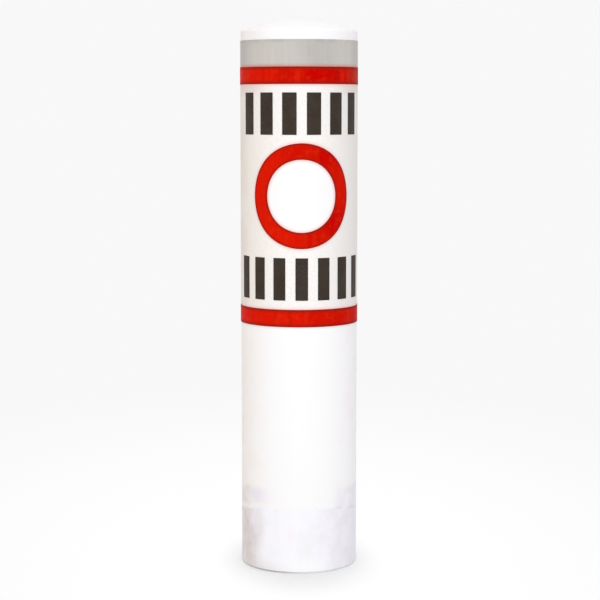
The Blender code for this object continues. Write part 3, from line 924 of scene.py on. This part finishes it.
def concrete():
    """Cast ballast: cement with darker stones and small air pores."""
    look = Finish("concrete", specular=0.3)
    cement = look.patches(25.0, 6.0, 0.3, 0.7, rough=0.65)
    color = look.mix(cement, (0.30, 0.29, 0.275), (0.42, 0.41, 0.395))
    stones = look.spread(look.cells(110.0), 0.30, 0.38, 0.55, 0.0)
    color = look.mix(stones, color, (0.22, 0.21, 0.20))
    pores = look.spread(look.cells(520.0), 0.16, 0.10, 0.0, 0.8)
    look.link(look.mix(pores, color, (0.12, 0.115, 0.11)), "Base Color")
    look.roughen(200.0, 3.0, 0.82, 0.96)
    look.bump((look.noise(180.0, 5.0), 0.0006))
    return look.material


# Stage

WHITE = (1, 1, 1, 1)
FLOOR_HOLE = 0.1240
FLOOR_REACH = 9.0
FLOOR_COLOR = (0.733, 0.742, 0.747, 1)
FLOOR_GLOW = 0.06
FADE_START = 0.107
FADE_END = 0.349
FADE_SQUEEZE = (1.8, 1, 1)
BACKDROP_TONE = 0.94
BACKDROP_START = 0.45
BACKDROP_END = 2.6
CAMERA_TURN = math.radians(-2.6)
CAMERA_DISTANCE = 3.9036
CAMERA_HEIGHT = 1.0084
CAMERA_PITCH = math.radians(6.218)
CAMERA_YAW = math.radians(0.031)
CAMERA_LENS = 106.91
CAMERA_SENSOR = 36.0
CAMERA_CLIP_END = 100.0
SKY_SIDE_LIGHT = 0.60
SKY_TOP_LIGHT = 1.15
SKY_LEFT_TINT = (1.025, 0.980, 0.950)
SKY_RIGHT_TINT = (0.990, 0.995, 1.010)
SKY_TINT_SPAN = (-1.0, 0.4)
LAMP_PLACE = Vector((-0.12, -3.2, 1.35))
LAMP_AIM = Vector((0, 0, 0.6))
LAMP_WIDTH = 1.6
LAMP_HEIGHT = 2.2
LAMP_POWER = 28


def make_world():
    """Soft light from all round, stronger from above and a little warm on the left."""
    world = bpy.data.worlds.new("studio")
    bpy.context.scene.world = world
    sky = Nodes(world)
    sky.tree.nodes.clear()
    place = sky.add("ShaderNodeTexCoord").outputs["Generated"]
    split = sky.add("ShaderNodeSeparateXYZ", {0: place}).outputs
    share = sky.spread(split["X"], *SKY_TINT_SPAN, shape="LINEAR")
    tint = sky.mix(share, SKY_LEFT_TINT, SKY_RIGHT_TINT)
    strength = sky.spread(split["Z"], 0.0, 1.0, SKY_SIDE_LIGHT, SKY_TOP_LIGHT, shape="LINEAR")
    light = sky.add("ShaderNodeBackground", {"Color": tint, "Strength": strength}).outputs[0]
    white = {"Color": WHITE, "Strength": BACKDROP_TONE}
    white = sky.add("ShaderNodeBackground", white).outputs[0]
    surface = sky.blend(sky.shown_white(), light, white)
    sky.add("ShaderNodeOutputWorld", {"Surface": surface})


def make_lamp():
    """Large soft lamp in front."""
    lamp = bpy.data.objects.new("softbox", bpy.data.lights.new("softbox", "AREA"))
    bpy.context.scene.collection.objects.link(lamp)
    lamp.data.shape = "RECTANGLE"
    lamp.data.size = LAMP_WIDTH
    lamp.data.size_y = LAMP_HEIGHT
    lamp.data.energy = LAMP_POWER
    lamp.location = LAMP_PLACE
    lamp.rotation_euler = (LAMP_AIM - LAMP_PLACE).to_track_quat("-Z", "Y").to_euler()


def pale_floor():
    """Pale surface that keeps the contact shadow, fades to white and then to the backdrop.

    It is clear from below.
    """
    material = bpy.data.materials.new("pale_floor")
    look = Nodes(material)
    look.tree.nodes.clear()
    shown = look.shown_white()
    diffuse = look.add("ShaderNodeBsdfDiffuse", {"Color": FLOOR_COLOR}).outputs[0]
    glow = {"Color": WHITE, "Strength": look.product(shown, FLOOR_GLOW)}
    glow = look.add("ShaderNodeEmission", glow).outputs[0]
    lit = look.add("ShaderNodeAddShader", {0: diffuse, 1: glow}).outputs[0]

    place = look.add("ShaderNodeTexCoord").outputs["Object"]
    narrow = look.add("ShaderNodeVectorMath", {0: place, 1: FADE_SQUEEZE}, operation="MULTIPLY")
    reach = look.add("ShaderNodeVectorMath", {0: narrow.outputs[0]}, operation="LENGTH")
    reach = reach.outputs["Value"]
    tone = look.spread(reach, BACKDROP_START, BACKDROP_END, 1.0, BACKDROP_TONE)
    white = look.add("ShaderNodeEmission", {"Color": WHITE, "Strength": tone}).outputs[0]
    far = look.product(look.spread(reach, FADE_START, FADE_END), shown)
    top = look.blend(far, lit, white)

    below = look.product(look.add("ShaderNodeNewGeometry").outputs["Backfacing"], shown)
    clear = look.add("ShaderNodeBsdfTransparent").outputs[0]
    look.add("ShaderNodeOutputMaterial", {"Surface": look.blend(below, top, clear)})
    return material


def make_floor():
    """Wide floor, open under the base."""
    bm = bmesh.new()
    for radius in (FLOOR_HOLE, FLOOR_REACH):
        bmesh.ops.create_circle(bm, segments=FACETS, radius=radius)
    bmesh.ops.bridge_loops(bm, edges=bm.edges[:])
    for face in bm.faces:
        if face.normal.z < 0:
            face.normal_flip()
    floor = place_mesh("floor", bm)
    floor.data.materials.append(pale_floor())


def make_camera():
    camera = bpy.data.objects.new("camera", bpy.data.cameras.new("camera"))
    bpy.context.scene.collection.objects.link(camera)
    camera.data.sensor_width = CAMERA_SENSOR
    camera.data.lens = CAMERA_LENS
    camera.data.clip_end = CAMERA_CLIP_END
    camera.location = (CAMERA_DISTANCE * math.sin(CAMERA_TURN),
                       -CAMERA_DISTANCE * math.cos(CAMERA_TURN), CAMERA_HEIGHT)
    camera.rotation_euler = (math.pi / 2 - CAMERA_PITCH, 0, CAMERA_TURN - CAMERA_YAW)
    bpy.context.scene.camera = camera


def main():
    steel = zinc("galvanised_steel", 260.0)
    make_body(polyethylene())
    make_foam(closed_cell_foam())
    make_ballast(concrete())
    make_eye(steel)
    make_anchor(zinc("plate_steel", 420.0))
    make_plug(black_plastic(), rubber())

    red, dark = red_film(), dark_film()
    add_band("reflective_band", SHEET_INSIDE, SHEET_THICKNESS, 0, reflective(), "reflective_film")
    add_band("label_sheet", SHEET_INSIDE, SHEET_THICKNESS, 0, marker_sheet(), "white_vinyl")
    add_band("upper_red_band", FILM_INSIDE, FILM_THICKNESS, SHEET_MARGIN, red, "red_vinyl")
    add_band("lower_red_band", FILM_INSIDE, FILM_THICKNESS, 0, red, "red_vinyl")
    ring = add_object("ring_film", wrap(flat_ring(), FILM_INSIDE, FILM_THICKNESS))
    finish_piece(ring, red, "red_vinyl", "ring")
    add_row("upper_block", UPPER_BLOCKS, UPPER_BLOCK_WIDTH, UPPER_BLOCK_PITCH, dark)
    add_row("lower_block", LOWER_BLOCKS, LOWER_BLOCK_WIDTH, LOWER_BLOCK_PITCH, dark)

    make_world()
    make_lamp()
    make_floor()
    make_camera()
    bpy.context.scene.view_settings.view_transform = "Standard"


main()
